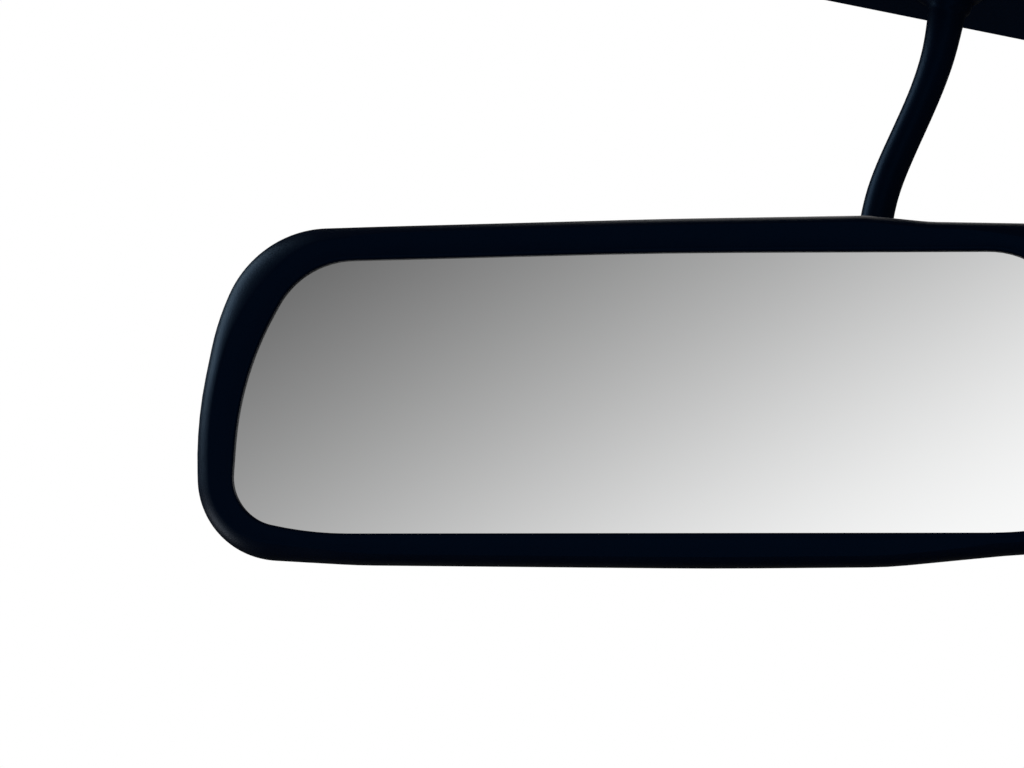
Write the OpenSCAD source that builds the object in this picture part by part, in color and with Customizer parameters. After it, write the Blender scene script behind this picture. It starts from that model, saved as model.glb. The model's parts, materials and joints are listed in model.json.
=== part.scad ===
// Interior rearview mirror on a header bracket: a swivelling stalk carries a ball joint, and the
// ball joint carries the head, which is a bezel, a flat glass and a rear shell.
// Row frame: the origin is the centre of the bracket's mounting face, +Z up, -Y towards the cabin.

/* [Header bracket] */
// Width of the bracket cover
cover_w = 92; // [84:1:96]
// Depth of the bracket cover from front to back
cover_d = 43; // [40:1:50]
// Drop of the cover's lower face below the mounting face
cover_drop = 11.6; // [11:0.1:13]
// Corner radius of the cover
cover_r = 13; // [8:1:18]
// Thickness of the steel bracket plate
plate_t = 3; // [2.5:0.5:3.5]
// Distance between the two header screw holes
header_pitch = 42; // [40:1:44]
// Radius of the header screw holes
header_hole_r = 2.6; // [2:0.1:3]

/* [Stalk] */
// Radius of the swivel spindle
spindle_r = 4; // [3.5:0.1:4.2]
// Radius of the collar that turns against the bush
collar_r = 8.5; // [8:0.1:8.6]
// Radius of the stalk where it leaves the collar
stalk_top_r = 4.9; // [4.7:0.1:5]
// Radius of the stalk at its waist
stalk_r = 3.85; // [3.5:0.05:4]
// Radius of the boss that holds the ball stud
boss_r = 5.2; // [5:0.1:5.5]

/* [Ball joint] */
// Radius of the ball
ball_r = 7; // [6.8:0.1:7.2]
// Radius of the neck between the ball and the stalk
neck_r = 3.2; // [3:0.1:3.4]
// Thickness of the plastic ball liner
liner_t = 1.5; // [1.4:0.1:1.6]
// Running gap between the sliding faces of the joint
joint_gap = 0.05; // [0.03:0.01:0.08]

/* [Head as adjusted] */
// Turn of the head towards the driver, about the vertical
head_yaw = -28; // [-32:1:-24]
// Downward tilt of the glass
head_pitch = 9; // [5:1:12]
// Lean of the head, clockwise from the driver's side
head_roll = -1.5; // [-3:0.5:0]
// Distance from the glass centre to the ball, along the head
ball_offset = 37; // [34:1:40]
// Distance from the front of the glass to the ball centre
glass_depth = 23; // [22:0.5:24]

/* [Head] */
// Height that the bezel's lip stands in front of the glass
lip_rise = 1.5; // [1:0.1:2]
// Width of the glass that is hidden under the lip
lip_cover = 1.6; // [1.2:0.1:2]
// Thickness of the glass
glass_t = 3.2; // [3:0.1:4]
// Thickness of the foam pad behind the glass
pad_t = 1.5; // [1:0.1:2]
// Wall thickness of the rear shell
shell_wall = 2; // [1.8:0.1:2.2]

/* [Hidden] */
eps = 0.01;
$fn = 64;
// Turn of an outline between two of its points
arc_step = 7;

// Where the ball centre is at rest, in the row frame
ball_at = [-25.5, 8, -116];

// ---- Bracket levels, measured down from the mounting face ----
pocket_r = 7.6;
pocket_floor = -5.5;
boss_floor = -9.3;
bush_wall = 1.2;
bush_r = spindle_r + joint_gap + bush_wall;
flange_t = 1.7;
collar_top = boss_floor - flange_t - joint_gap;
collar_h = 2.1;
spindle_top = -1;
groove_r = 3.4;
groove_top = -1.55;
groove_h = 0.9;
clip_t = 0.8;
clip_r = 6.2;
cover_wall = 2.2;
cover_top = -0.8;
cover_inner_z = cover_wall - cover_drop;
cover_edge_r = 3;
plate_w = cover_w - 8;
plate_d = cover_d - 12;
plate_boss_r = 11;
cover_screw_x = 37;
post_r = 3.4;
screw_r = 1.5;
screw_head_r = 3;
cover_head_h = 1.2;

// ---- Head levels, along the head's own y, from the ball centre ----
glass_front = -glass_depth;
lip_front = glass_front - lip_rise;
parting = glass_front + 8;
back_y = 4.2;
hump_top = 10.5;
hump_r = 26.4;
hump_base = 3;
aperture_r = 12.4;
case_screw_r = 1.1;
case_head_r = 2.1;
case_boss_r = 3.4;
case_head_y = -9;
post_half_x = 20;
post_half_z = 19;
bracket_post_r = 3.6;
bracket_y = -3;
bracket_t = 2.5;
barrel_r = 13;
cap_screw_at = 10.8;
liner_mouth_r = 6.2;
seat_mouth_r = 7.1;
barrel_back = 6;
barrel_front = -11.5;
cap_t = 2;
seat_r = ball_r + joint_gap + liner_t + joint_gap;
cup_r = seat_r - joint_gap;
cup_back = -3;
cup_front = -9;
liner_front = -0.5;
liner_back = 5.2;
stud_r = 2.5;
stud_end = 20;
boss_front = 15;
boss_back = 20.5;

// Vertices [x, z, radius] of the visible glass, about the glass centre, clockwise from the lower left
glass_corners = [
  [-81.8, -32.8, 84], [-101, -28.6, 11.6], [-99, 4, 73], [-84.6, 30.5, 19.7], [0, 31.45, 1500],
  [84.6, 30.5, 19.7], [99, 4, 73], [101, -28.6, 11.6], [81.8, -32.8, 84]
];
// Vertices of the housing: it is a little slimmer past the stalk
case_corners = [
  [-72, -39.95, 150], [-109.1, -37.9, 19.6], [-110.6, -7.1, 98], [-106, 17.2, 59], [-96.7, 39, 25.6],
  [0, 40, 1200],
  [45.7, 40, 24], [60.2, 38.3, 40], [97, 37.2, 23.6], [106.2, 16.3, 59], [110.6, -7.1, 90],
  [109.1, -35.6, 19], [76, -37.8, 100], [50, -40.35, 100], [10, -40.7, 1200]
];
// Case screws [x, z] about the glass centre
case_screw_at = [[-96.2, -31.2], [96.4, -29.8], [-83.6, 30.2], [83.6, 29.4]];

// Guide points of the stalk: straight down from the spindle, round behind the head, into the ball stud
stalk_guide = concat(
  [[0, 0, -6], [0, 0, -13], [-1, 0.5, -20], [-2, 1.5, -28.5], [-4, 5, -38.5], [-7.5, 9.5, -50],
   [-11, 13.5, -62], [-11, 16.5, -73.5], [-11, 21, -82.5]],
  [for (p = [[4.5, 27, 18], [1.5, 27.5, 5], [0, 23, 0], [0, 15.5, 0], [0, 8, 0]]) ball_at + head_dir(p)]
);
stalk_steps = 4;
stalk_sides = 16;

// ---- Vector helpers ----
// Turns a vector from the head's frame into the row frame
function head_dir(v) =
  let (a = turn_y(v, head_roll), b = turn_x(a, head_pitch)) turn_z(b, head_yaw);
function turn_x(v, a) = [v[0], v[1] * cos(a) - v[2] * sin(a), v[1] * sin(a) + v[2] * cos(a)];
function turn_y(v, a) = [v[0] * cos(a) + v[2] * sin(a), v[1], v[2] * cos(a) - v[0] * sin(a)];
function turn_z(v, a) = [v[0] * cos(a) - v[1] * sin(a), v[0] * sin(a) + v[1] * cos(a), v[2]];
function unit(v) = v / norm(v);
function flat(lists) = [for (l = lists) for (p = l) p];

// ---- Outlines with rounded corners ----
// Points of one rounded corner at vertex b between a and c, moved out by grow, clockwise outline
function corner(a, b, c, r, grow) =
  let (
    u = unit(a - b),
    v = unit(c - b),
    bend = u[0] * v[1] - u[1] * v[0] > 0 ? 1 : -1,
    half = acos(u * v) / 2,
    centre = b + unit(u + v) * r / sin(half),
    from = atan2(-bend * u[0], bend * u[1]),
    sweep = bend * (180 - 2 * half),
    n = max(1, round(abs(sweep) / arc_step))
  )
  [for (i = [0:n])
    let (turn = from - sweep * i / n)
    centre + (r + bend * grow) * [cos(turn), sin(turn)]];
function outline(corners, grow) =
  let (k = len(corners))
  flat([for (i = [0:k - 1])
    corner(xz(corners[(i + k - 1) % k]), xz(corners[i]), xz(corners[(i + 1) % k]), corners[i][2], grow)]);
function xz(c) = [c[0], c[1]];
// A ring of 3-D points at depth y in the head's frame
function ring(y, grow) = [for (p = outline(case_corners, grow)) [p[0] - ball_offset, y, p[1]]];
// Faces that join rings of n points into a closed skin, with flat caps on both ends
function skin(rings, n) = concat(
  [[for (i = [0:n - 1]) i]],
  [[for (i = [0:n - 1]) rings * n - 1 - i]],
  [for (k = [0:rings - 2], i = [0:n - 1]) [k * n + i, (k + 1) * n + i, (k + 1) * n + (i + 1) % n]],
  [for (k = [0:rings - 2], i = [0:n - 1]) [k * n + i, (k + 1) * n + (i + 1) % n, k * n + (i + 1) % n]]
);
// Solid that runs through rings listed as [y, grow]
module loft(steps) {
  rings = [for (s = steps) ring(s[0], s[1])];
  polyhedron(flat(rings), skin(len(rings), len(rings[0])));
}

// ---- Placing helpers ----
module in_head() {
  translate(ball_at) rotate([0, 0, head_yaw]) rotate([head_pitch, 0, 0]) rotate([0, head_roll, 0])
    children();
}
// Extrudes a flat shape drawn in x and z from depth y0 to depth y1
module along_y(y0, y1) {
  translate([0, y1, 0]) rotate([90, 0, 0]) linear_extrude(y1 - y0) children();
}
// Turns a profile drawn as [radius, depth] about the head's y axis through the ball
module around_y() {
  rotate([-90, 0, 0]) rotate_extrude() children();
}
module rod_y(r, y0, y1) {
  translate([0, y0, 0]) rotate([-90, 0, 0]) cylinder(r = r, h = y1 - y0);
}
module rod_z(r, z0, z1) {
  translate([0, 0, z0]) cylinder(r = r, h = z1 - z0);
}
module rounded_plate(w, d, r, z0, z1) {
  translate([0, 0, z0]) linear_extrude(z1 - z0) {
    square([w, d - 2 * r], center = true);
    square([w - 2 * r, d], center = true);
    for (sx = [-1, 1], sy = [-1, 1]) translate([sx * (w / 2 - r), sy * (d / 2 - r)]) circle(r);
  }
}
module glass_shape(grow) {
  translate([-ball_offset, 0]) polygon(outline(glass_corners, grow));
}
// Pan-head screw along y with its head at the back, tip at y0 and head face at y1
module screw_y(r, head_r, y0, y1, head_h = 1.8) {
  difference() {
    union() {
      rod_y(r, y0, y1 - head_h + eps);
      rod_y(head_r, y1 - head_h, y1);
    }
    cross_slot_y(y1);
  }
}
module cross_slot_y(y1) {
  slot_l = 2.6;
  slot_w = 0.7;
  slot_h = 0.9;
  translate([-slot_l / 2, y1 - slot_h, -slot_w / 2]) cube([slot_l, slot_h + eps, slot_w]);
  translate([-slot_w / 2, y1 - slot_h, -slot_l / 2]) cube([slot_w, slot_h + eps, slot_l]);
}

// ---- Header bracket ----
module base_plate() {
  color("dimgray") difference() {
    union() {
      rounded_plate(plate_w, plate_d, cover_r - 5, -plate_t, 0);
      rod_z(plate_boss_r, boss_floor, -plate_t + eps);
      for (sx = [-1, 1]) translate([sx * cover_screw_x, 0]) rod_z(post_r, cover_inner_z, -plate_t + eps);
    }
    rod_z(pocket_r, pocket_floor, eps);
    rod_z(bush_r, boss_floor - eps, pocket_floor + eps);
    for (sx = [-1, 1]) {
      translate([sx * header_pitch / 2, 0]) rod_z(header_hole_r, -plate_t - eps, eps);
      translate([sx * cover_screw_x, 0]) rod_z(screw_r, cover_inner_z - eps, -plate_t + 0.6);
    }
  }
}

module base_cover() {
  edge = cover_edge_r;
  color("#10141c") difference() {
    hull() for (a = [0:22.5:90]) {
      inset = edge * (1 - cos(a));
      z0 = -cover_drop + edge * (1 - sin(a));
      rounded_plate(cover_w - 2 * inset, cover_d - 2 * inset, cover_r - inset, z0, cover_top, $fn = 32);
    }
    rounded_plate(cover_w - 2 * cover_wall, cover_d - 2 * cover_wall, cover_r - cover_wall,
      cover_inner_z, cover_top + eps);
    rod_z(collar_r + 0.6, -cover_drop - eps, cover_inner_z + eps);
    for (sx = [-1, 1]) translate([sx * cover_screw_x, 0]) {
      rod_z(screw_r + 0.2, -cover_drop - eps, cover_inner_z + eps);
      rod_z(screw_head_r + 0.3, -cover_drop - eps, -cover_drop + 0.2 + cover_head_h);
    }
  }
}

module cover_seal() {
  seal_w = 1.6;
  color("#26282b") difference() {
    rounded_plate(cover_w, cover_d, cover_r, cover_top, 0);
    rounded_plate(cover_w - 2 * seal_w, cover_d - 2 * seal_w, cover_r - seal_w, cover_top - eps, eps);
  }
}

module cover_screws() {
  color("#2a2c30") for (sx = [-1, 1]) translate([sx * cover_screw_x, 0, 0]) rotate([-90, 0, 0])
    screw_y(screw_r, screw_head_r, plate_t + 1, cover_drop - 0.2, cover_head_h);
}

module swivel_bush() {
  color("#d8d8d0") difference() {
    union() {
      rod_z(bush_r, boss_floor, pocket_floor);
      rod_z(collar_r, boss_floor - flange_t, boss_floor);
    }
    rod_z(spindle_r + joint_gap, boss_floor - flange_t - eps, pocket_floor + eps);
  }
}

module swivel_spring() {
  inner = spindle_r + 0.7;
  outer = pocket_r - 0.3;
  leaf = 0.6;
  color("silver") rotate_extrude() polygon([
    [outer, pocket_floor], [outer, pocket_floor + leaf],
    [inner, groove_top - groove_h - 1.0], [inner, groove_top - groove_h - 1.0 - leaf]
  ]);
}

module thrust_washer() {
  washer_t = 0.85;
  top = groove_top - groove_h - joint_gap;
  color("gray") difference() {
    rod_z(pocket_r - 0.4, top - washer_t, top);
    rod_z(spindle_r + joint_gap, top - washer_t - eps, top + eps);
  }
}

module spindle_circlip() {
  gap_angle = 50;
  color("#303236") translate([0, 0, groove_top - groove_h / 2 - clip_t / 2])
    rotate_extrude(angle = 360 - gap_angle) translate([groove_r + joint_gap, 0]) square([clip_r - groove_r, clip_t]);
}

// ---- Stalk ----
// Point on the smooth curve that the guide points steer, at span i and 0 to 1 along it
function guide_point(i, t) = (
  pow(1 - t, 3) * stalk_guide[i] + (3 * pow(t, 3) - 6 * t * t + 4) * stalk_guide[i + 1]
  + (1 + 3 * t + 3 * t * t - 3 * pow(t, 3)) * stalk_guide[i + 2] + pow(t, 3) * stalk_guide[i + 3]
) / 6;
// The stalk tapers from the collar to its waist and swells slightly towards the ball stud
function stalk_radius(t) =
  stalk_r + (stalk_top_r - stalk_r) * pow(max(0, 1 - t / 0.3), 1.6) + min(0.25, max(0, t - 0.35));
stalk_line = [
  for (i = [0:len(stalk_guide) - 4], k = [0:stalk_steps - 1]) guide_point(i, k / stalk_steps),
  guide_point(len(stalk_guide) - 4, 1)
];
function stalk_ring(k) =
  let (
    last = len(stalk_line) - 1,
    along = unit(stalk_line[min(k + 1, last)] - stalk_line[max(k - 1, 0)]),
    side = unit(cross(along, [1, 0, 0])),
    up = cross(along, side)
  )
  [for (j = [0:stalk_sides - 1])
    let (a = 360 * j / stalk_sides)
    stalk_line[k] + stalk_radius(k / last) * (cos(a) * side + sin(a) * up)];

module stalk() {
  rings = [for (k = [0:len(stalk_line) - 1]) stalk_ring(k)];
  color("#0e1219") difference() {
    union() {
      polyhedron(flat(rings), skin(len(rings), stalk_sides));
      rotate_extrude() polygon([
        [0, spindle_top], [spindle_r - 0.4, spindle_top], [spindle_r, spindle_top - 0.4],
        [spindle_r, groove_top], [groove_r, groove_top], [groove_r, groove_top - groove_h],
        [spindle_r, groove_top - groove_h], [spindle_r, collar_top], [collar_r, collar_top],
        [collar_r, collar_top - collar_h], [6.3, collar_top - collar_h - 1], [5, collar_top - collar_h - 2.6],
        [0, collar_top - collar_h - 2.6]
      ]);
      in_head() rod_y(boss_r, boss_front, boss_back);
    }
    in_head() rod_y(stud_r, boss_front - 1, stud_end);
  }
}

module ball_stud() {
  color("silver") in_head() {
    sphere(ball_r);
    rod_y(neck_r, 0, boss_front);
    rod_y(stud_r, boss_front - eps, stud_end);
  }
}

// ---- Ball joint ----
module ball_liner() {
  color("#e8e4d8") in_head() around_y() intersection() {
    difference() {
      circle(ball_r + joint_gap + liner_t);
      circle(ball_r + joint_gap);
    }
    translate([liner_mouth_r, liner_front]) square([ball_r, liner_back - liner_front]);
  }
}

module pressure_cup() {
  color("#e8e4d8") in_head() difference() {
    rod_y(cup_r, cup_front, cup_back);
    sphere(ball_r + joint_gap);
  }
}

module socket_springs() {
  inner = 3;
  outer = 7.5;
  leaf = 0.5;
  middle = (cup_front + barrel_front) / 2;
  rise = cup_front - 0.1 - middle;
  color("silver") in_head() for (side = [-1, 1]) around_y() polygon([
    [inner, middle + side * rise], [outer, middle + side * (leaf + eps)],
    [outer, middle + side * eps], [inner, middle + side * (rise - leaf)]
  ]);
}

module socket_bracket() {
  foot_w = 2 * post_half_x + 2 * bracket_post_r;
  foot_h = 2 * post_half_z + 2 * bracket_post_r;
  color("#9a9ca0") in_head() difference() {
    union() {
      rod_y(barrel_r, barrel_front, barrel_back);
      along_y(bracket_y - bracket_t, bracket_y) rounded_rect(foot_w, foot_h, bracket_post_r);
    }
    sphere(seat_r);
    rod_y(seat_r, barrel_front - eps, 0);
    rod_y(seat_mouth_r, 0, barrel_back + eps);
    at_posts() rod_y(case_screw_r + 0.2, bracket_y - bracket_t - eps, bracket_y + eps);
    at_cap_screws() rod_y(case_screw_r, barrel_front - eps, -4);
  }
}
module rounded_rect(w, h, r) {
  square([w - 2 * r, h], center = true);
  square([w, h - 2 * r], center = true);
  for (sx = [-1, 1], sz = [-1, 1]) translate([sx * (w / 2 - r), sz * (h / 2 - r)]) circle(r);
}
module at_posts() {
  for (sx = [-1, 1], sz = [-1, 1]) translate([sx * post_half_x, 0, sz * post_half_z]) children();
}
module at_cap_screws() {
  for (a = [90:120:330]) rotate([0, a, 0]) translate([cap_screw_at, 0, 0]) children();
}

module bracket_screws() {
  color("silver") in_head() at_posts() mirror([0, 1, 0])
    screw_y(case_screw_r, case_head_r, -1, -bracket_y + bracket_t + 1.8);
}

module socket_cap() {
  color("#9a9ca0") in_head() difference() {
    rod_y(barrel_r, barrel_front - cap_t, barrel_front);
    rod_y(2, barrel_front - cap_t - eps, barrel_front + eps);
    at_cap_screws() rod_y(case_screw_r + 0.2, barrel_front - cap_t - eps, barrel_front + eps);
  }
}

module cap_screws() {
  color("silver") in_head() at_cap_screws() mirror([0, 1, 0])
    screw_y(case_screw_r, case_head_r, 4.5, -barrel_front + cap_t + 1.8);
}

// ---- Head ----
// Outer surface of the rear shell, front to back, as [depth, growth of the outline]
shell_outside = [
  [parting, -0.3], [-9, -0.7], [-4, -1.9], [-0.8, -3.9], [1.8, -7], [3.5, -10.3], [back_y, -13.3]
];
shell_inside = [
  [back_y - shell_wall, -14.4], [1.6, -11.7], [0.2, -8.6], [-2.4, -5.6], [-9, -0.7 - shell_wall],
  [parting, -0.3 - shell_wall]
];
// Hump that the ball joint sits in, as [radius, depth]
hump_outside = [[hump_r, hump_base], [25.7, 4.4], [23.7, 7.2], [20.5, 9.4], [17, hump_top]];
hump_inside = [[15.6, hump_top - 1.8], [19.5, 7.8], [22.1, 5.8], [23.8, hump_base]];

module rear_shell() {
  color("#0d1118") in_head() difference() {
    union() {
      difference() {
        loft(concat(shell_inside, shell_outside));
        rod_y(hump_r - 1.4, back_y - shell_wall - 1, back_y + 1);
      }
      around_y() polygon(concat(
        hump_outside, [[aperture_r, hump_top], [aperture_r, hump_top - 1.8]], hump_inside
      ));
      at_posts() rod_y(bracket_post_r, bracket_y, hump_base + 0.2);
      intersection() {
        loft(shell_outside);
        at_case_screws() rod_y(case_boss_r, parting, back_y);
      }
    }
    at_posts() rod_y(case_screw_r, bracket_y - eps, back_y - shell_wall);
    at_case_screws() {
      rod_y(case_screw_r + 0.2, parting - eps, case_head_y + eps);
      rod_y(case_head_r + 0.2, case_head_y - 1.8, back_y + 1);
    }
  }
}
module at_case_screws() {
  for (p = case_screw_at) translate([p[0] - ball_offset, 0, p[1]]) children();
}

module neck_grommet() {
  color("#1b1c1e") in_head() around_y() polygon([
    [10.6, hump_top - 2.8], [aperture_r + 1.2, hump_top - 2.8], [aperture_r + 1.2, hump_top - 1.8],
    [aperture_r, hump_top - 1.8], [aperture_r, hump_top], [aperture_r + 1, hump_top],
    [aperture_r + 0.6, hump_top + 0.7], [10.9, hump_top + 0.7], [10.6, hump_top + 0.3]
  ]);
}

// Outer surface of the bezel, front to back: a flat face that rolls over into the rim
bezel_outside = [
  [lip_front, -5], [lip_front + 0.25, -3.6], [lip_front + 1.1, -2.1], [lip_front + 2.6, -0.9],
  [lip_front + 4.6, -0.2], [lip_front + 6.6, 0], [parting, -0.05]
];
module bezel() {
  color("#0a0e15") in_head() difference() {
    loft(bezel_outside);
    along_y(lip_front - 1, parting + 1) glass_shape(0);
    along_y(glass_front, parting + 1) glass_shape(lip_cover + 0.1);
    at_case_screws() rod_y(case_screw_r, parting - 4.7, parting + eps);
  }
}

module mirror_glass() {
  color("#c9ced3") in_head() along_y(glass_front, glass_front + glass_t) glass_shape(lip_cover);
}

module glass_pad() {
  color("#3a3d42") in_head()
    along_y(glass_front + glass_t, glass_front + glass_t + pad_t) glass_shape(lip_cover - 4);
}

module case_screws() {
  color("#2a2c30") in_head() at_case_screws()
    screw_y(case_screw_r, case_head_r, parting - 4.5, case_head_y);
}

base_plate();
base_cover();
cover_seal();
cover_screws();
swivel_bush();
swivel_spring();
thrust_washer();
spindle_circlip();
stalk();
ball_stud();
ball_liner();
pressure_cup();
socket_bracket();
bracket_screws();
socket_springs();
socket_cap();
cap_screws();
rear_shell();
neck_grommet();
bezel();
mirror_glass();
glass_pad();
case_screws();
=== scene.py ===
# Looks of the interior rearview mirror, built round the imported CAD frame

import json
import math

import bmesh
import bpy
from mathutils import Matrix, Vector


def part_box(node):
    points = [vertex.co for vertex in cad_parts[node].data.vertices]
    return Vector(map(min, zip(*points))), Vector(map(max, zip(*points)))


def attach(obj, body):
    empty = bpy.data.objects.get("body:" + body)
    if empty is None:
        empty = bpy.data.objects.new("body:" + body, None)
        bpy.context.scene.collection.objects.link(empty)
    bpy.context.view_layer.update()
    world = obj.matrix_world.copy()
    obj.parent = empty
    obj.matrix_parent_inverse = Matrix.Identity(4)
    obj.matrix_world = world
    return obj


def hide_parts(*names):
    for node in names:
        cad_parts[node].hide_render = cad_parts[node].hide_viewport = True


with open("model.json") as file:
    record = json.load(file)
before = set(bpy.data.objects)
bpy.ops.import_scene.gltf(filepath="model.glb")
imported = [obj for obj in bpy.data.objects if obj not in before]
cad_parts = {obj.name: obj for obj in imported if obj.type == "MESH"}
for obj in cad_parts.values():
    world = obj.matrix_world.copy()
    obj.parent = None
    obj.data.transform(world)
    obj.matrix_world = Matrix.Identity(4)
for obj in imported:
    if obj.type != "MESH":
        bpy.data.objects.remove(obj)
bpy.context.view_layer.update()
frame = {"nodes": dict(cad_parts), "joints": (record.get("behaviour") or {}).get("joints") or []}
MM = 0.001

# ---- The head's own frame, from the joints: x along the head, y out of its back, z up ----
JOINT = {j["name"]: j for j in frame["joints"]}
BALL = Vector(JOINT["head_roll"]["pos_m"])
HEAD_X = Vector(JOINT["head_pitch"]["axis"]).normalized()
HEAD_Y = Vector(JOINT["head_roll"]["axis"]).normalized()
HEAD_Z = HEAD_X.cross(HEAD_Y).normalized()
HEAD = Matrix((
    (HEAD_X.x, HEAD_Y.x, HEAD_Z.x, BALL.x),
    (HEAD_X.y, HEAD_Y.y, HEAD_Z.y, BALL.y),
    (HEAD_X.z, HEAD_Y.z, HEAD_Z.z, BALL.z),
    (0, 0, 0, 1),
))

# Distances in the head's frame, in millimetres from the ball
BALL_OFFSET = 37.0
GLASS_FRONT = -23.0
GLASS_T = 3.2
LIP_FRONT = -24.5
LIP_COVER = 1.6
PARTING = -15.0
HUMP_TOP = 10.5
APERTURE_R = 12.4
CASE_HEAD_Y = -9.0

# Rounded vertices [x, z, radius] about the glass centre, clockwise, as on the CAD model
GLASS_CORNERS = [
    (-81.8, -32.8, 84), (-101, -28.6, 11.6), (-99, 4, 73), (-84.6, 30.5, 19.7), (0, 31.45, 1500),
    (84.6, 30.5, 19.7), (99, 4, 73), (101, -28.6, 11.6), (81.8, -32.8, 84),
]
CASE_CORNERS = [
    (-72, -39.95, 150), (-109.1, -37.9, 19.6), (-110.6, -7.1, 98), (-106, 17.2, 59), (-96.7, 39, 25.6),
    (0, 40, 1200),
    (45.7, 40, 24), (60.2, 38.3, 40), (97, 37.2, 23.6), (106.2, 16.3, 59), (110.6, -7.1, 90),
    (109.1, -35.6, 19), (76, -37.8, 100), (50, -40.35, 100), (10, -40.7, 1200),
]
CASE_SCREWS = [(-96.2, -31.2), (96.4, -29.8), (-83.6, 30.2), (83.6, 29.4)]
# Guide points of the stalk, in millimetres: the first nine in the row frame, the rest in the head's
STALK_TOP = [
    (0, 0, -6), (0, 0, -13), (-1, 0.5, -20), (-2, 1.5, -28.5), (-4, 5, -38.5), (-7.5, 9.5, -50),
    (-11, 13.5, -62), (-11, 16.5, -73.5), (-11, 21, -82.5),
]
STALK_FOOT = [(4.5, 27, 18), (1.5, 27.5, 5), (0, 23, 0), (0, 15.5, 0), (0, 8, 0)]


# ---- Shape helpers ----
def smoothstep(a, b, x):
    t = min(1.0, max(0.0, (x - a) / (b - a)))
    return t * t * (3 - 2 * t)


def smooth_max(a, b, k):
    h = max(k - abs(a - b), 0.0) / k
    return max(a, b) + h * h * k / 4


def rounded(corners, arc=2.5, gap=2.0):
    """Points of a clockwise outline with rounded corners, each with its outward normal."""
    out = []
    for i, (bx, bz, r) in enumerate(corners):
        b = Vector((bx, bz))
        u = (Vector(corners[i - 1][:2]) - b).normalized()
        v = (Vector(corners[(i + 1) % len(corners)][:2]) - b).normalized()
        bend = 1 if u.x * v.y - u.y * v.x > 0 else -1
        half = math.acos(max(-1, min(1, u.dot(v)))) / 2
        centre = b + (u + v).normalized() * r / math.sin(half)
        start = math.atan2(-bend * u.x, bend * u.y)
        sweep = bend * (math.pi - 2 * half)
        n = max(2, round(math.degrees(abs(sweep)) / arc))
        for k in range(n + 1):
            turn = start - sweep * k / n
            d = Vector((math.cos(turn), math.sin(turn)))
            out.append((centre + r * d, bend * d))
    dense = []
    for i, (p, n) in enumerate(out):
        q, m = out[(i + 1) % len(out)]
        if (q - p).length < 1e-4:
            continue
        parts = max(1, math.ceil((q - p).length / gap))
        dense += [(p.lerp(q, k / parts), n.lerp(m, k / parts).normalized()) for k in range(parts)]
    return dense


def reach(point, direction, outline):
    """How far the ray from point in direction runs before it crosses the outline."""
    best = 1e9
    for i, (a, _) in enumerate(outline):
        b = outline[(i + 1) % len(outline)][0]
        e = b - a
        det = direction.x * e.y - direction.y * e.x
        if abs(det) < 1e-9:
            continue
        w = a - point
        t = (w.x * e.y - w.y * e.x) / det
        s = (w.x * direction.y - w.y * direction.x) / det
        if -1e-6 <= s <= 1 + 1e-6 and 0 < t < best:
            best = t
    return best


def through(points, steps):
    """Points of a smooth curve that passes through the given 2-D points."""
    pts = [Vector(p) for p in points]
    pts = [pts[0] * 2 - pts[1]] + pts + [pts[-1] * 2 - pts[-2]]
    out = []
    for a, b, c, d in zip(pts, pts[1:], pts[2:], pts[3:]):
        for k in range(steps):
            t = k / steps
            out.append(0.5 * (2 * b + (c - a) * t + (2 * a - 5 * b + 4 * c - d) * t * t
                              + (3 * b - a - 3 * c + d) * t ** 3))
    return out + [pts[-2]]


def mesh_of(name, rings, place, loop=False, caps=False):
    """Mesh through rings of points in millimetres: loop joins the last ring to the first, caps closes both."""
    bm = bmesh.new()
    made = [[bm.verts.new(place @ (Vector(p) * MM)) for p in ring] for ring in rings]
    n = len(made[0])
    pairs = list(zip(made, made[1:])) + ([(made[-1], made[0])] if loop else [])
    for low, high in pairs:
        for i in range(n):
            bm.faces.new((low[i], low[(i + 1) % n], high[(i + 1) % n], high[i]))
    if caps:
        bm.faces.new(made[0])
        bm.faces.new(made[-1])
    bmesh.ops.recalc_face_normals(bm, faces=bm.faces)
    mesh = bpy.data.meshes.new(name)
    bm.to_mesh(mesh)
    bm.free()
    obj = bpy.data.objects.new(name, mesh)
    bpy.context.scene.collection.objects.link(obj)
    return obj


def smooth(obj, angle):
    """Smooth shading, with a sharp edge wherever faces meet at more than the angle."""
    obj.data.shade_smooth()
    obj.data.set_sharp_from_angle(angle=math.radians(angle))


def settle(obj):
    """Applies the object's modifiers."""
    shown = obj.evaluated_get(bpy.context.evaluated_depsgraph_get())
    mesh = bpy.data.meshes.new_from_object(shown)
    obj.modifiers.clear()
    old = obj.data
    obj.data = mesh
    bpy.data.meshes.remove(old)


def cut(obj, cutters):
    """Takes the cutters away from the object."""
    for cutter in cutters:
        mod = obj.modifiers.new("cut", "BOOLEAN")
        mod.operation = "DIFFERENCE"
        mod.solver = "EXACT"
        mod.object = cutter
    settle(obj)
    for cutter in cutters:
        bpy.data.objects.remove(cutter)


def head_circle(r, y, at=(0, 0), n=96):
    """Circle across the head's depth axis."""
    return [(at[0] + r * math.cos(2 * math.pi * k / n), y, at[1] + r * math.sin(2 * math.pi * k / n))
            for k in range(n)]


def flat_circle(r, z, at=(0, 0), n=96):
    """Level circle."""
    return [(at[0] + r * math.cos(2 * math.pi * k / n), at[1] + r * math.sin(2 * math.pi * k / n), z)
            for k in range(n)]


def put(obj, body, slot, material, *nodes):
    """Rides the piece on its body in place of the nodes, with its material; the slot argument is not used."""
    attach(obj, body)
    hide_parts(*nodes)
    obj.data.materials.clear()
    obj.data.materials.append(material)


# ---- Materials ----
# Most of a noise texture's values lie between these
NOISE_LOW, NOISE_HIGH = 0.3, 0.7
# Patches per metre of the slow changes in a finish, and the strength of its fine grain
PATCH_SCALE, GRAIN_STRENGTH = 60.0, 0.6


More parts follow.
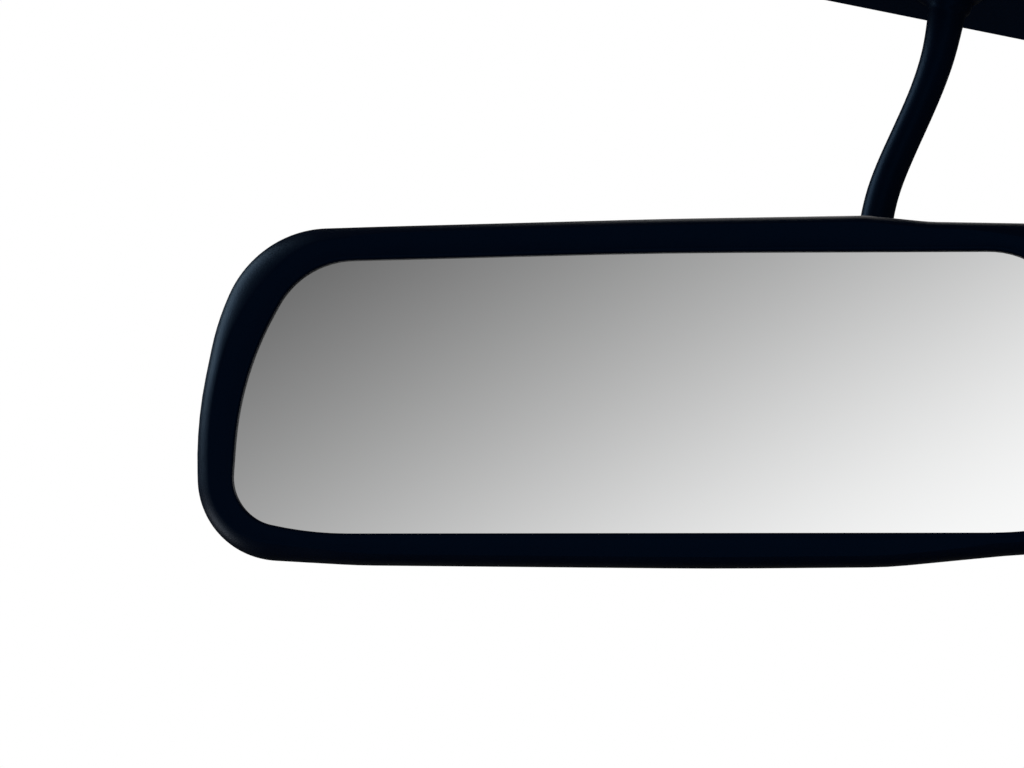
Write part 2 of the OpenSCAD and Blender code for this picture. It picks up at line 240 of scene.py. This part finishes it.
def new_material(name):
    """An empty finish: the material, its tree, its shader and the object's coordinates."""
    mat = bpy.data.materials.new(name)
    mat.use_nodes = True
    tree = mat.node_tree
    tree.nodes.clear()
    out = tree.nodes.new("ShaderNodeOutputMaterial")
    shader = tree.nodes.new("ShaderNodeBsdfPrincipled")
    tree.links.new(shader.outputs["BSDF"], out.inputs["Surface"])
    coords = tree.nodes.new("ShaderNodeTexCoord")
    return mat, tree, shader, coords.outputs["Object"]


def noise(tree, coords, scale, detail, rough=0.5):
    node = tree.nodes.new("ShaderNodeTexNoise")
    node.inputs["Scale"].default_value = scale
    node.inputs["Detail"].default_value = detail
    node.inputs["Roughness"].default_value = rough
    tree.links.new(coords, node.inputs["Vector"])
    return node.outputs["Fac"]


def spread(tree, fac, low, high):
    """Maps a noise value to the range low to high."""
    node = tree.nodes.new("ShaderNodeMapRange")
    node.inputs["From Min"].default_value = NOISE_LOW
    node.inputs["From Max"].default_value = NOISE_HIGH
    node.inputs["To Min"].default_value = low
    node.inputs["To Max"].default_value = high
    tree.links.new(fac, node.inputs["Value"])
    return node.outputs["Result"]


def two_tone(tree, fac, a, b):
    """Mixes two colours by a noise value."""
    node = tree.nodes.new("ShaderNodeMix")
    node.data_type = "RGBA"
    node.inputs[6].default_value = (*a, 1)
    node.inputs[7].default_value = (*b, 1)
    tree.links.new(fac, node.inputs[0])
    return node.outputs[2]


def bump(tree, height, depth):
    """A grain of the given depth in metres."""
    node = tree.nodes.new("ShaderNodeBump")
    node.inputs["Strength"].default_value = GRAIN_STRENGTH
    node.inputs["Distance"].default_value = depth
    tree.links.new(height, node.inputs["Height"])
    return node.outputs["Normal"]


def surface(name, dark, light, rough, grain, grain_depth, metallic=0.0, specular=0.5, tint=(1, 1, 1), ior=1.5):
    """A finish with slow colour and roughness changes, and a fine grain in its bump."""
    mat, tree, shader, coords = new_material(name)
    slow = noise(tree, coords, PATCH_SCALE, 3.0)
    fine = noise(tree, coords, grain, 2.0, 0.6)
    tree.links.new(two_tone(tree, slow, dark, light), shader.inputs["Base Color"])
    tree.links.new(spread(tree, slow, *rough), shader.inputs["Roughness"])
    tree.links.new(bump(tree, fine, grain_depth), shader.inputs["Normal"])
    shader.inputs["Metallic"].default_value = metallic
    shader.inputs["Specular IOR Level"].default_value = specular
    shader.inputs["Specular Tint"].default_value = (*tint, 1)
    shader.inputs["IOR"].default_value = ior
    return mat


# The moulded parts are a black with a navy cast, and their gloss is tinted the same way
NAVY_SHEEN = (0.10, 0.44, 1.0)
PLASTIC = surface("satin_navy_black", (0.0001, 0.0008, 0.0036), (0.0003, 0.0013, 0.0050), (0.36, 0.46),
                  2600, 0.00006, specular=0.12, tint=NAVY_SHEEN, ior=1.35)
PAINT = surface("stalk_paint", (0.0001, 0.0008, 0.0034), (0.0003, 0.0012, 0.0046), (0.36, 0.44),
                1500, 0.00005, specular=0.12, tint=NAVY_SHEEN, ior=1.35)
COVER_PLASTIC = surface("cover_navy_black", (0.0002, 0.0018, 0.0060), (0.0005, 0.0026, 0.0084), (0.50, 0.60),
                        2200, 0.00006, specular=0.04, tint=NAVY_SHEEN, ior=1.25)
ZINC = surface("zinc_plate", (0.42, 0.42, 0.40), (0.55, 0.55, 0.54), (0.30, 0.45), 900, 0.00004, metallic=1.0)
CAST = surface("die_cast", (0.36, 0.37, 0.38), (0.46, 0.47, 0.48), (0.42, 0.58), 700, 0.0001, metallic=1.0)
STEEL = surface("bright_steel", (0.55, 0.55, 0.56), (0.66, 0.66, 0.67), (0.14, 0.24), 1200, 0.00002,
                metallic=1.0)
SPRING = surface("spring_steel", (0.20, 0.20, 0.21), (0.30, 0.30, 0.31), (0.28, 0.40), 900, 0.00003,
                 metallic=1.0)
BEARING = surface("bearing_plastic", (0.62, 0.60, 0.54), (0.70, 0.68, 0.62), (0.42, 0.52), 1200, 0.00004)
FOAM = surface("foam_rubber", (0.012, 0.013, 0.014), (0.022, 0.023, 0.025), (0.85, 0.95), 1400, 0.0004,
               specular=0.2)
RUBBER = surface("soft_rubber", (0.004, 0.005, 0.007), (0.008, 0.009, 0.012), (0.58, 0.70), 1100, 0.0001,
                 specular=0.3)
SCREW = surface("black_screw", (0.010, 0.010, 0.012), (0.020, 0.020, 0.022), (0.30, 0.42), 1000, 0.00003,
                metallic=1.0)


def mirror_material():
    """Silvered glass: a near-perfect reflector with a trace of polish haze."""
    mat, tree, shader, coords = new_material("mirror_silver")
    haze = noise(tree, coords, 22, 4.0)
    tree.links.new(spread(tree, haze, 0.004, 0.012), shader.inputs["Roughness"])
    silver = two_tone(tree, haze, (0.925, 0.930, 0.930), (0.940, 0.944, 0.943))
    tree.links.new(silver, shader.inputs["Base Color"])
    shader.inputs["Metallic"].default_value = 1.0
    return mat


SILVER = mirror_material()
GLASS_EDGE = surface("ground_glass_edge", (0.20, 0.27, 0.25), (0.28, 0.36, 0.33), (0.45, 0.60), 900, 0.00005)
BACKING = surface("mirror_backing", (0.10, 0.11, 0.12), (0.14, 0.15, 0.16), (0.55, 0.70), 500, 0.00004)

NODE_FINISH = {
    "base_plate": ZINC, "cover_seal": FOAM, "cover_screws": SCREW, "swivel_bush": BEARING,
    "swivel_spring": SPRING, "thrust_washer": ZINC, "spindle_circlip": SPRING, "ball_stud": STEEL,
    "ball_liner": BEARING, "pressure_cup": BEARING, "socket_bracket": CAST, "bracket_screws": SCREW,
    "socket_springs": SPRING, "socket_cap": CAST, "cap_screws": SCREW, "glass_pad": FOAM,
    "case_screws": SCREW,
}
for node_name, finish in NODE_FINISH.items():
    for slot in frame["nodes"][node_name].material_slots:
        slot.material = finish

CASE = rounded(CASE_CORNERS)
GLASS = rounded(GLASS_CORNERS)


def case_ring(inset, y):
    """Ring on the case outline at depth y: inset is one value, or one for each point."""
    insets = inset if isinstance(inset, list) else [inset] * len(CASE)
    return [(p.x - n.x * w - BALL_OFFSET, y, p.y - n.y * w) for (p, n), w in zip(CASE, insets)]


# ---- Bezel: a flat face that breaks at a soft crease into a rolled rim, and a bead round the glass ----
ROLL_DEPTH = 6.6
ROLL_STEPS = 18
CREASE_ANGLE = math.radians(72)
# Skins stand this far inside the case outline, so that they stay within the CAD model's box
SKIN_INSET = 0.08
SEAT_GAP = 0.05
SHARP = 32
to_glass = [reach(p, -n, GLASS) for p, n in CASE]


def rim_width(p, room):
    """Width of the rolled rim: slim along the long sides, wider at the ends, widest at the upper corners."""
    end = smoothstep(62, 100, abs(p.x))
    corner = math.exp(-((abs(p.x) - 98) ** 2 + (p.y - 30) ** 2) / 17 ** 2)
    least_face = 2.4
    return min(2.4 + 1.7 * end + 3.0 * corner, room - least_face)


rim = [rim_width(p, room) for (p, _), room in zip(CASE, to_glass)]
rings = [case_ring(0.45, PARTING), case_ring(0.15, PARTING - 0.35), case_ring(SKIN_INSET, PARTING - 1.6)]
for step in range(ROLL_STEPS + 1):
    psi = CREASE_ANGLE * step / ROLL_STEPS
    share = (1 - math.cos(psi)) / (1 - math.cos(CREASE_ANGLE))
    rise = math.sin(psi) / math.sin(CREASE_ANGLE)
    insets = [SKIN_INSET + (w - SKIN_INSET) * share for w in rim]
    rings.append(case_ring(insets, LIP_FRONT + ROLL_DEPTH * (1 - rise)))
# The face dips slightly between the crease and the bead
BEAD_W = 1.3
for share, dish in ((0.08, 0.01), (0.5, 0.09), (1.0, 0.12)):
    rings.append(case_ring([w + (t - BEAD_W - w) * share for w, t in zip(rim, to_glass)], LIP_FRONT + dish))
# The bead's section: distance from the opening's edge, and depth
for back, y in ((1.12, 0.08), (0.92, 0.02), (0.66, 0.0), (0.36, 0.06), (0.14, 0.22), (0.02, 0.5), (0.0, 0.9)):
    rings.append(case_ring([t - back for t in to_glass], LIP_FRONT + y))
rings.append(case_ring(to_glass, GLASS_FRONT - SEAT_GAP))
pocket = [t - LIP_COVER - 0.2 for t in to_glass]
rings.append(case_ring(pocket, GLASS_FRONT - SEAT_GAP))
rings.append(case_ring(pocket, PARTING - 0.4))
rings.append(case_ring([t - LIP_COVER - 0.4 for t in to_glass], PARTING))
bezel = mesh_of("bezel_skin", rings, HEAD, loop=True)
smooth(bezel, SHARP)
put(bezel, "head", "satin_plastic", PLASTIC, "bezel")


# ---- Glass: silvered face, ground edge, painted back ----
def glass_ring(grow, y):
    """Ring on the glass outline, grown by a distance, at depth y."""
    return [(p.x + n.x * grow - BALL_OFFSET, y, p.y + n.y * grow) for p, n in GLASS]


glass = mesh_of("mirror_plate", [
    glass_ring(LIP_COVER - 0.5, GLASS_FRONT), glass_ring(LIP_COVER, GLASS_FRONT + 0.5),
    glass_ring(LIP_COVER, GLASS_FRONT + GLASS_T - 0.4), glass_ring(LIP_COVER - 0.4, GLASS_FRONT + GLASS_T),
], HEAD, caps=True)
put(glass, "head", "mirror_silver", SILVER, "mirror_glass")
glass.data.materials.append(GLASS_EDGE)
glass.data.materials.append(BACKING)
FLAT = 0.99
for face in glass.data.polygons:
    backward = face.normal.dot(HEAD_Y)
    face.material_index = 0 if backward < -FLAT else 2 if backward > FLAT else 1


# ---- Rear shell: rolled sides, a flat back and a hump that flows out of it over the ball joint ----
# Sections from the parting line to the flat back, as (depth, inset), and of the hump, as (radius, height)
SHELL_SIDE = [(PARTING, 0.3), (-9, 0.7), (-4, 1.9), (-0.8, 3.9), (1.8, 7.0), (3.5, 10.3), (4.2, 13.3)]
SHELL_INSIDE = [(2.2, 14.4), (1.6, 11.7), (0.2, 8.6), (-2.4, 5.6), (-9, 2.7), (PARTING, 2.3)]
HUMP_SIDE = [(12.0, 10.5), (17.0, 10.5), (20.5, 9.4), (23.7, 7.2), (25.7, 4.4), (27.2, 0.0), (28.6, -6.0)]
HUMP_INSIDE = [(15.6, 8.7), (19.5, 7.8), (22.1, 5.8), (23.8, 3.0), (25.0, 2.2)]
# Width over which the hump flows out of the shell, and a height below everything
BLEND, NO_HUMP = 3.2, -50.0
HUMP_LINE = through(HUMP_SIDE, 8)


def hump_height(r):
    """Height of the hump alone at a distance from the ball's axis."""
    for a, b in zip(HUMP_LINE, HUMP_LINE[1:]):
        if a.x <= r <= b.x:
            return a.y + (b.y - a.y) * (r - a.x) / (b.x - a.x)
    return NO_HUMP


def raised(ring):
    """The ring pushed out to the hump where the hump stands above it."""
    return [(x, min(HUMP_TOP, smooth_max(y, hump_height(math.hypot(x, z)), BLEND)) - SKIN_INSET, z)
            for x, y, z in ring]


def at_radii(ring, radii, y):
    """The ring's points moved in or out to the given radii about the ball, all at depth y."""
    return [(x * r / math.hypot(x, z), y, z * r / math.hypot(x, z)) for (x, _, z), r in zip(ring, radii)]


def towards(ring, radii, share, y):
    """Ring part of the way from a ring to the given radii about the ball, all at depth y."""
    out = []
    for (x, _, z), r in zip(ring, radii):
        k = r / math.hypot(x, z)
        out.append((x + (x * k - x) * share, y, z + (z * k - z) * share))
    return out


# The flat back is drawn in two spans of rings: to a circle round the hump, and from there to the opening
HUMP_REACH, REACH_SHARE = 33.0, 0.97
OUTER_STEPS, INNER_STEPS = 8, 24
side = through(SHELL_SIDE, 7)
rings = [case_ring(0.75, PARTING), case_ring(0.36, PARTING + 0.35)]
rings += [raised(case_ring(p.y, p.x)) for p in side[2:]]
BACK_Y, BACK_INSET = SHELL_SIDE[-1]
edge = case_ring(BACK_INSET, BACK_Y)
middle = [min(HUMP_REACH, REACH_SHARE * math.hypot(x, z)) for x, _, z in edge]
for k in range(1, OUTER_STEPS + 1):
    rings.append(raised(towards(edge, middle, k / OUTER_STEPS, BACK_Y)))
inner = at_radii(edge, middle, BACK_Y)
aperture = [APERTURE_R] * len(edge)
for k in range(1, INNER_STEPS + 1):
    rings.append(raised(towards(inner, aperture, k / INNER_STEPS, BACK_Y)))
for r, y in [(APERTURE_R, HUMP_TOP - 1.8)] + HUMP_INSIDE:
    rings.append(at_radii(edge, [r] * len(edge), y))
rings += [case_ring(w, y) for y, w in SHELL_INSIDE]
shell = mesh_of("shell_skin", rings, HEAD, loop=True)
COUNTERBORE_R, SCREW_HEAD_H, CLEAR_Y, BORE_SIDES = 2.3, 1.8, 6, 48
cutters = []
for x, z in CASE_SCREWS:
    at = (x - BALL_OFFSET, z)
    cutters.append(mesh_of("counterbore", [
        head_circle(COUNTERBORE_R, CASE_HEAD_Y - SCREW_HEAD_H, at, BORE_SIDES),
        head_circle(COUNTERBORE_R, CLEAR_Y, at, BORE_SIDES),
    ], HEAD, caps=True))
cut(shell, cutters)
smooth(shell, SHARP)
put(shell, "head", "satin_plastic", PLASTIC, "rear_shell")

# ---- Rubber grommet in the hump's opening: its section as (radius, depth) ----
GROMMET = [
    (10.6, 7.9), (10.8, 7.7), (13.4, 7.7), (13.6, 7.9), (13.6, 8.6), (12.5, 8.7), (12.4, 8.8), (12.4, 10.4),
    (12.5, 10.5), (13.4, 10.5), (13.5, 10.7), (13.3, 10.95), (12.6, 11.15), (11.6, 11.2), (10.95, 11.1),
    (10.65, 10.8), (10.75, 10.1), (10.6, 9.4), (10.75, 8.7),
]
grommet = mesh_of("neck_grommet_ring", [head_circle(r, y) for r, y in GROMMET], HEAD, loop=True)
smooth(grommet, 60)
put(grommet, "head", "soft_rubber", RUBBER, "neck_grommet")

# ---- Stalk: one painted casting, swept from the collar to the ball stud's boss ----
ROW = Matrix.Identity(4)
guide = [Vector(p) for p in STALK_TOP] + [(HEAD @ (Vector(p) * MM)) / MM for p in STALK_FOOT]
SPAN_STEPS, STALK_SIDES = 12, 40
STALK_R, STALK_TOP_R = 3.85, 4.9
# The centre line is a uniform cubic B-spline on the guide points
line = []
for i in range(len(guide) - 3):
    a, b, c, d = guide[i:i + 4]
    for k in range(SPAN_STEPS):
        t = k / SPAN_STEPS
        line.append(((1 - t) ** 3 * a + (3 * t ** 3 - 6 * t * t + 4) * b
                     + (1 + 3 * t + 3 * t * t - 3 * t ** 3) * c + t ** 3 * d) / 6)
rings = []
for k, p in enumerate(line):
    along = (line[min(k + 1, len(line) - 1)] - line[max(k - 1, 0)]).normalized()
    across = along.cross(Vector((1, 0, 0))).normalized()
    up = along.cross(across)
    t = k / (len(line) - 1)
    flare, swell = max(0, 1 - t / 0.3) ** 1.6, min(0.25, max(0, t - 0.35))
    r = STALK_R + (STALK_TOP_R - STALK_R) * flare + swell
    angles = [2 * math.pi * j / STALK_SIDES for j in range(STALK_SIDES)]
    rings.append([p + (across * math.cos(a) + up * math.sin(a)) * r for a in angles])
stalk = mesh_of("stalk_casting", rings, ROW, caps=True)
# Sections of the collar under the base and of the boss that holds the ball stud
COLLAR = [(4, -1.4), (4, -11.05), (8.2, -11.05), (8.5, -11.35), (8.5, -12.8), (8.2, -13.15), (6.9, -13.6),
          (5.9, -14.6), (5.3, -15.9), (4.9, -17.6)]
parts = [mesh_of("collar", [flat_circle(r, z) for r, z in COLLAR], ROW, caps=True)]
BOSS = [(4.6, 14.95), (5.1, 15.4), (5.2, 16.2), (5.2, 19.4), (5.0, 20.1), (4.3, 20.5)]
parts.append(mesh_of("boss", [head_circle(r, y) for r, y in BOSS], HEAD, caps=True))
# The three are cast into one skin, and the seams between them relax
VOXEL = 0.42
bm = bmesh.new()
for piece in [stalk, *parts]:
    bm.from_mesh(piece.data)
bm.to_mesh(stalk.data)
bm.free()
for piece in parts:
    bpy.data.objects.remove(piece)
remesh = stalk.modifiers.new("cast", "REMESH")
remesh.mode = "VOXEL"
remesh.voxel_size = VOXEL * MM
relax = stalk.modifiers.new("relax", "SMOOTH")
relax.factor = 0.5
relax.iterations = 8
settle(stalk)
stalk.data.shade_smooth()
put(stalk, "stalk", "stalk_paint", PAINT, "stalk")

# ---- Bracket cover: a rounded lid with a soft lower edge ----
low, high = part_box("base_cover")
COVER_W, COVER_D = (high.x - low.x) / MM, (high.y - low.y) / MM
COVER_TOP, COVER_LOW = high.z / MM, low.z / MM
COVER_R, COVER_EDGE, COVER_WALL, COLLAR_HOLE = 13.0, 3.0, 2.2, 9.1
EDGE_STEPS, FACE_STEPS = 12, 8
half_w, half_d = COVER_W / 2, COVER_D / 2
PLAN = rounded([(-half_w, -half_d, COVER_R), (-half_w, half_d, COVER_R), (half_w, half_d, COVER_R),
                (half_w, -half_d, COVER_R)], arc=4)


def plan_ring(inset, z):
    """Ring on the cover's plan, moved in by a distance."""
    return [(p.x - n.x * inset, p.y - n.y * inset, z) for p, n in PLAN]


def hole_ring(r, z):
    """Round ring about the swivel, with its points where the plan's are."""
    return [(x * r / math.hypot(x, y), y * r / math.hypot(x, y), z) for x, y, _ in plan_ring(0, 0)]


rings = [plan_ring(0.4, COVER_TOP), plan_ring(0.05, COVER_TOP - 0.3), plan_ring(0, COVER_TOP - 1.2)]
for k in range(EDGE_STEPS + 1):
    a = math.radians(90 * k / EDGE_STEPS)
    rings.append(plan_ring(COVER_EDGE * (1 - math.cos(a)), COVER_LOW + COVER_EDGE * (1 - math.sin(a))))
lower, rim_points = rings[-1], hole_ring(COLLAR_HOLE + 0.4, COVER_LOW)
for k in range(1, FACE_STEPS + 1):
    rings.append([Vector(p).lerp(Vector(q), k / FACE_STEPS) for p, q in zip(lower, rim_points)])
rings += [hole_ring(COLLAR_HOLE, COVER_LOW + 0.4), hole_ring(COLLAR_HOLE, COVER_LOW + COVER_WALL)]
rings += [plan_ring(COVER_WALL, COVER_LOW + COVER_WALL), plan_ring(COVER_WALL, COVER_TOP)]
cover = mesh_of("cover_skin", rings, ROW, loop=True)
# Two screw bores: a clearance hole through the wall and a recess for the head
COVER_HEAD_R = 3
screw_low, screw_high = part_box("cover_screws")
SCREW_X = (screw_high.x - screw_low.x) / 2 / MM - COVER_HEAD_R
cutters = []
for x in (-SCREW_X, SCREW_X):
    for r, depth in ((1.7, 3), (3.3, 1.4)):
        bore = [flat_circle(r, z, (x, 0), BORE_SIDES) for z in (COVER_LOW - 1, COVER_LOW + depth)]
        cutters.append(mesh_of("cover_bore", bore, ROW, caps=True))
cut(cover, cutters)
smooth(cover, SHARP)
put(cover, "base", "satin_plastic", COVER_PLASTIC, "base_cover")

# ---- Camera: it sees the head turned and from a little below, framed on the driver's end ----
LENS = 98.75
VIEW_YAW, VIEW_PITCH, VIEW_ROLL = math.radians(8.0), math.radians(6.0), math.radians(0.5)
VIEW_DISTANCE, VIEW_ASIDE, VIEW_ABOVE = 640.0, 34.84, 1.19


def head_as_seen():
    """The head's x, y and z axes in the camera's right, forward and up."""
    x = Vector((math.cos(VIEW_YAW), -math.sin(VIEW_YAW), 0))
    y = Vector((math.sin(VIEW_YAW), math.cos(VIEW_YAW), 0))
    z = Vector((0, 0, 1))
    y2 = y * math.cos(VIEW_PITCH) - z * math.sin(VIEW_PITCH)
    z2 = z * math.cos(VIEW_PITCH) + y * math.sin(VIEW_PITCH)
    x3 = x * math.cos(VIEW_ROLL) + z2 * math.sin(VIEW_ROLL)
    return x3, y2, z2 * math.cos(VIEW_ROLL) - x * math.sin(VIEW_ROLL)


seen = head_as_seen()
HEAD_AXES = (HEAD_X, HEAD_Y, HEAD_Z)
RIGHT, FORWARD, UP = (sum((axis * part[i] for axis, part in zip(HEAD_AXES, seen)), Vector()) for i in range(3))
glass_centre = HEAD @ (Vector((-BALL_OFFSET, GLASS_FRONT, 0)) * MM)
eye = glass_centre - (FORWARD * VIEW_DISTANCE + RIGHT * VIEW_ASIDE - UP * VIEW_ABOVE) * MM
camera = bpy.data.objects.new("camera", bpy.data.cameras.new("camera"))
camera.data.lens = LENS
camera.data.clip_start = 0.01
camera.matrix_world = Matrix((
    (RIGHT.x, UP.x, -FORWARD.x, eye.x),
    (RIGHT.y, UP.y, -FORWARD.y, eye.y),
    (RIGHT.z, UP.z, -FORWARD.z, eye.z),
    (0, 0, 0, 1),
))
bpy.context.scene.collection.objects.link(camera)
bpy.context.scene.camera = camera

# ---- Studio: white all round, with a tone behind the camera that the glass picks up ----
bpy.context.scene.view_settings.view_transform = "Standard"
world = bpy.data.worlds.new("studio")
bpy.context.scene.world = world
world.use_nodes = True
tree = world.node_tree
tree.nodes.clear()


def mirrored(v):
    """The direction as it lies after a reflection in the glass."""
    return v - 2 * v.dot(HEAD_Y) * HEAD_Y


def maths(operation, *values):
    """A maths node on numbers or sockets."""
    node = tree.nodes.new("ShaderNodeMath")
    node.operation = operation
    for socket, value in zip(node.inputs, values):
        if isinstance(value, (int, float)):
            socket.default_value = value
        else:
            tree.links.new(value, socket)
    return node.outputs[0]


def along_axis(axis):
    """How far the seen direction runs along an axis."""
    node = tree.nodes.new("ShaderNodeVectorMath")
    node.operation = "DOT_PRODUCT"
    node.inputs[1].default_value = axis
    tree.links.new(coords.outputs["Generated"], node.inputs[0])
    return node.outputs["Value"]


# The wall's tone in display values: at the middle of the glass, and its change to the right and downwards
TONE_MIDDLE, TONE_RIGHT, TONE_DOWN = 0.664, 1.577, 2.750
# Past its brightest band the wall darkens again, so the glass shows a tone from any side
TONE_PEAK, TONE_MOST, TONE_SHOULDER, TONE_LEAST, DISPLAY_GAMMA = 1.16, 1.03, 0.3, 0.25, 2.2
coords = tree.nodes.new("ShaderNodeTexCoord")
tone = maths("ADD", along_axis(mirrored(RIGHT) * TONE_RIGHT - mirrored(UP) * TONE_DOWN), TONE_MIDDLE)
folded = maths("MINIMUM", tone, maths("SUBTRACT", 2 * TONE_PEAK, tone))
held = maths("MAXIMUM", maths("SMOOTH_MIN", folded, TONE_MOST, TONE_SHOULDER), TONE_LEAST)
# The toned wall fills only the side that the glass faces: the rest of the room gives no glare
wall = tree.nodes.new("ShaderNodeMapRange")
wall.interpolation_type = "SMOOTHSTEP"
wall.inputs["From Min"].default_value = 0.55
wall.inputs["From Max"].default_value = 0.90
wall.inputs["To Min"].default_value = 0.06
wall.inputs["To Max"].default_value = 1.0
tree.links.new(along_axis(mirrored(FORWARD)), wall.inputs["Value"])
glossy_tone = maths("MULTIPLY", maths("POWER", held, DISPLAY_GAMMA), wall.outputs["Result"])
shown = tree.nodes.new("ShaderNodeBackground")
shown.inputs["Color"].default_value = (1, 1, 1, 1)
lit = tree.nodes.new("ShaderNodeBackground")
tree.links.new(glossy_tone, lit.inputs["Color"])
path = tree.nodes.new("ShaderNodeLightPath")
mix = tree.nodes.new("ShaderNodeMixShader")
tree.links.new(path.outputs["Is Glossy Ray"], mix.inputs["Fac"])
tree.links.new(shown.outputs[0], mix.inputs[1])
tree.links.new(lit.outputs[0], mix.inputs[2])
world_out = tree.nodes.new("ShaderNodeOutputWorld")
tree.links.new(mix.outputs[0], world_out.inputs["Surface"])


def softbox(name, offset, size, power, colour):
    """An area light that looks at the head from offset, in metres along the head's axes."""
    light = bpy.data.lights.new(name, "AREA")
    light.shape = "RECTANGLE"
    light.size, light.size_y = size
    light.energy = power
    light.color = colour
    obj = bpy.data.objects.new(name, light)
    target = HEAD @ Vector((-BALL_OFFSET * MM, 0, 0))
    place = target + HEAD_X * offset[0] + HEAD_Y * offset[1] + HEAD_Z * offset[2]
    aim = (target - place).to_track_quat("-Z", "Y").to_matrix().to_4x4()
    obj.matrix_world = Matrix.Translation(place) @ aim
    obj.visible_camera = False
    bpy.context.scene.collection.objects.link(obj)


softbox("left_window", (-0.95, 0.10, 0.45), (0.6, 0.7), 9.0, (0.62, 0.85, 1.0))
softbox("left_low", (-0.9, 0.10, -0.45), (0.5, 0.4), 3.5, (1.0, 0.98, 0.95))
softbox("back_fill", (0.4, 1.3, 0.9), (1.2, 1.2), 5.0, (1.0, 0.98, 0.95))

FLOOR_R, FLOOR_Z, FLOOR_T, FLOOR_SIDES = 2600, -1300, 2, 128
discs = [flat_circle(FLOOR_R, z, (0, 0), FLOOR_SIDES) for z in (FLOOR_Z, FLOOR_Z - FLOOR_T)]
floor = mesh_of("studio_floor", discs, ROW, caps=True)
floor.visible_glossy = False
floor_mat = surface("studio_floor_paint", (0.80, 0.80, 0.80), (0.84, 0.84, 0.84), (0.6, 0.8), 40, 0.0004)
floor.data.materials.append(floor_mat)
